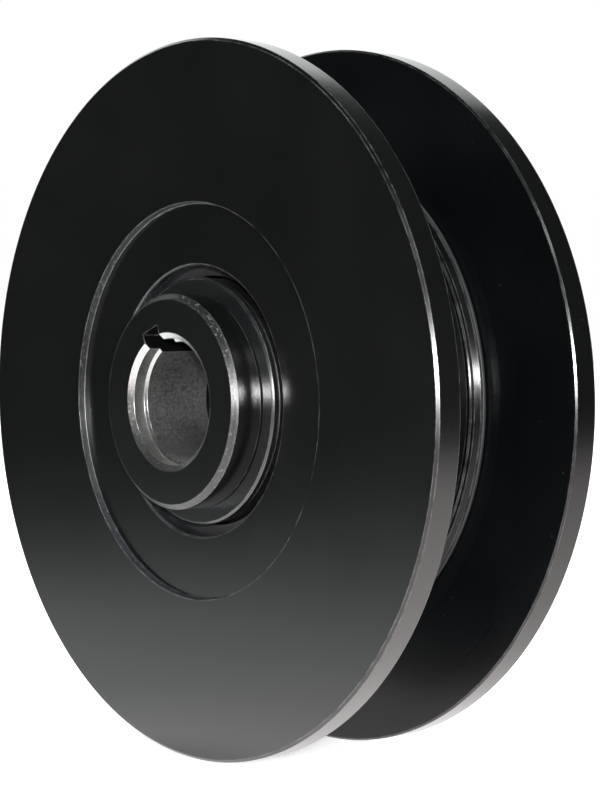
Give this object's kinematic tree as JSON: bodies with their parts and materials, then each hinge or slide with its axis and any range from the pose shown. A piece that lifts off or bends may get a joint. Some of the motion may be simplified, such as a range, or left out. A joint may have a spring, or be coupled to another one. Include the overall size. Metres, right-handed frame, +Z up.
{
  "type": "v belt pulley",
  "caption": "Spring-loaded wide V-belt pulley: two black steel discs, one sliding on a keyed hub sleeve, with a stepped barrel and a compression spring between them.",
  "frame": {"origin": "centre of the bounding box, on the shaft axis", "axes": "+Y along the shaft axis from the front face towards the rear disc, +Z up, +X to the right seen from the front"},
  "size_m": [0.168, 0.061, 0.168],
  "materials": {
    "front_disc": "semi-gloss blackened steel, turned",
    "rear_disc": "semi-gloss blackened steel, turned",
    "hub": "blackened steel with a bare ground bore",
    "ring": "blackened spring steel",
    "barrel": "semi-gloss blackened steel, turned",
    "end_plate": "semi-gloss blackened steel, turned",
    "collar": "phosphated steel",
    "key_steel": "bright drawn key steel",
    "washer": "ground steel",
    "tab_washer": "zinc-plated steel",
    "nut": "blackened steel",
    "screw": "blackened alloy steel",
    "bush": "sintered bronze",
    "wear_ring": "filled PTFE",
    "rubber": "matt black nitrile rubber",
    "spring": "oil-tempered spring steel"
  },
  "bodies": {
    "fixed_half": {"hub_sleeve": "hub", "front_retaining_ring": "ring", "guide_collar": "collar", "guide_wear_ring": "wear_ring", "collar_key": "key_steel", "drive_key_1": "key_steel", "drive_key_2": "key_steel", "drive_key_3": "key_steel", "fixed_disc": "rear_disc", "disc_key": "key_steel", "tab_washer": "tab_washer", "lock_nut": "nut", "front_spring_washer": "washer", "compression_spring": "spring"},
    "moving_half": {"moving_disc": "front_disc", "front_wiper_seal": "rubber", "barrel_housing": "barrel", "end_plate": "end_plate", "slide_bush": "bush", "bumper_ring": "rubber", "rear_spring_washer": "washer", "barrel_screw_1": "screw", "barrel_screw_2": "screw", "barrel_screw_3": "screw", "barrel_screw_4": "screw", "barrel_screw_5": "screw", "barrel_screw_6": "screw", "end_plate_screw_1": "screw", "end_plate_screw_2": "screw", "end_plate_screw_3": "screw", "end_plate_screw_4": "screw", "end_plate_screw_5": "screw", "end_plate_screw_6": "screw"}
  },
  "joints": [
    {"name": "disc_slide", "type": "slide", "parent": "fixed_half", "child": "moving_half", "axis": [0, -1, 0], "range_m": [0, 0.007], "stiffness_N_per_m": 30000, "springref_m": -0.012, "deforming": ["compression_spring"]}
  ]
}
